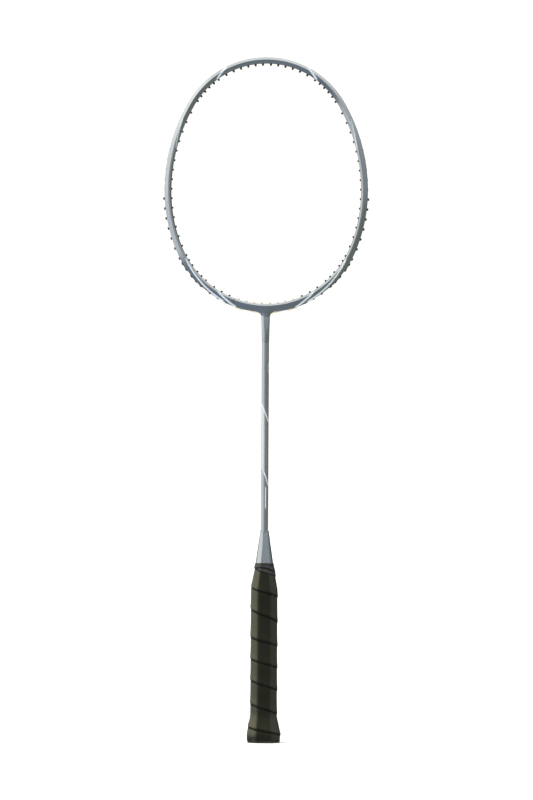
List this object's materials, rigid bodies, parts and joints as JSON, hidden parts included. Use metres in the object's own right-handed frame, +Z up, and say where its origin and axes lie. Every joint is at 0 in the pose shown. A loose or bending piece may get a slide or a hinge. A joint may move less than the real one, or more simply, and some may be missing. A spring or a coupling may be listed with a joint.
{
  "type": "badminton racket",
  "caption": "Unstrung badminton racket: oval hollow hoop with string grommets, slim round shaft, tapered cone cap and an octagonal tape-wound handle with a flared butt.",
  "frame": {"origin": "centre of the butt's end face, which the racket stands on", "axes": "+Z up the shaft towards the head, +X across the head, -Y is the front face"},
  "size_m": [0.2034, 0.0304, 0.6755],
  "materials": {
    "frame_paint": "silver-blue pearl lacquer over carbon composite, with pale stripes",
    "shaft_paint": "silver-blue pearl lacquer over a carbon tube",
    "cone_paint": "silver-blue lacquered plastic",
    "joint_composite": "moulded carbon composite",
    "handle_wood": "bare turned wood",
    "butt_plastic": "moulded, fine texture",
    "grip_wrap": "synthetic polyurethane grip tape, faint olive black",
    "finishing_tape": "black vinyl tape, slightly wrinkled",
    "grommet_dark": "moulded nylon",
    "grommet_pale": "moulded nylon, cream white"
  },
  "bodies": {
    "root": {"hoop_frame": "frame_paint", "t_joint": "joint_composite", "shaft": "shaft_paint", "cone_cap": "cone_paint", "handle_core": "handle_wood", "butt_cap": "butt_plastic", "grip_tape": "grip_wrap", "finishing_tape": "finishing_tape", "crown_grommets_left": "grommet_dark", "crown_grommets_right": "grommet_dark", "shoulder_grommet_strip_left": "grommet_dark", "shoulder_grommet_strip_right": "grommet_dark", "side_grommets_left": "grommet_dark", "side_grommets_right": "grommet_dark", "lower_side_strip_left": "grommet_dark", "lower_side_strip_right": "grommet_dark", "quarter_strip_left": "grommet_dark", "quarter_strip_right": "grommet_dark", "lower_grommets_left": "grommet_dark", "lower_grommets_right": "grommet_dark", "throat_grommet_strip_left": "grommet_pale", "throat_grommet_strip_right": "grommet_pale"}
  },
  "joints": []
}
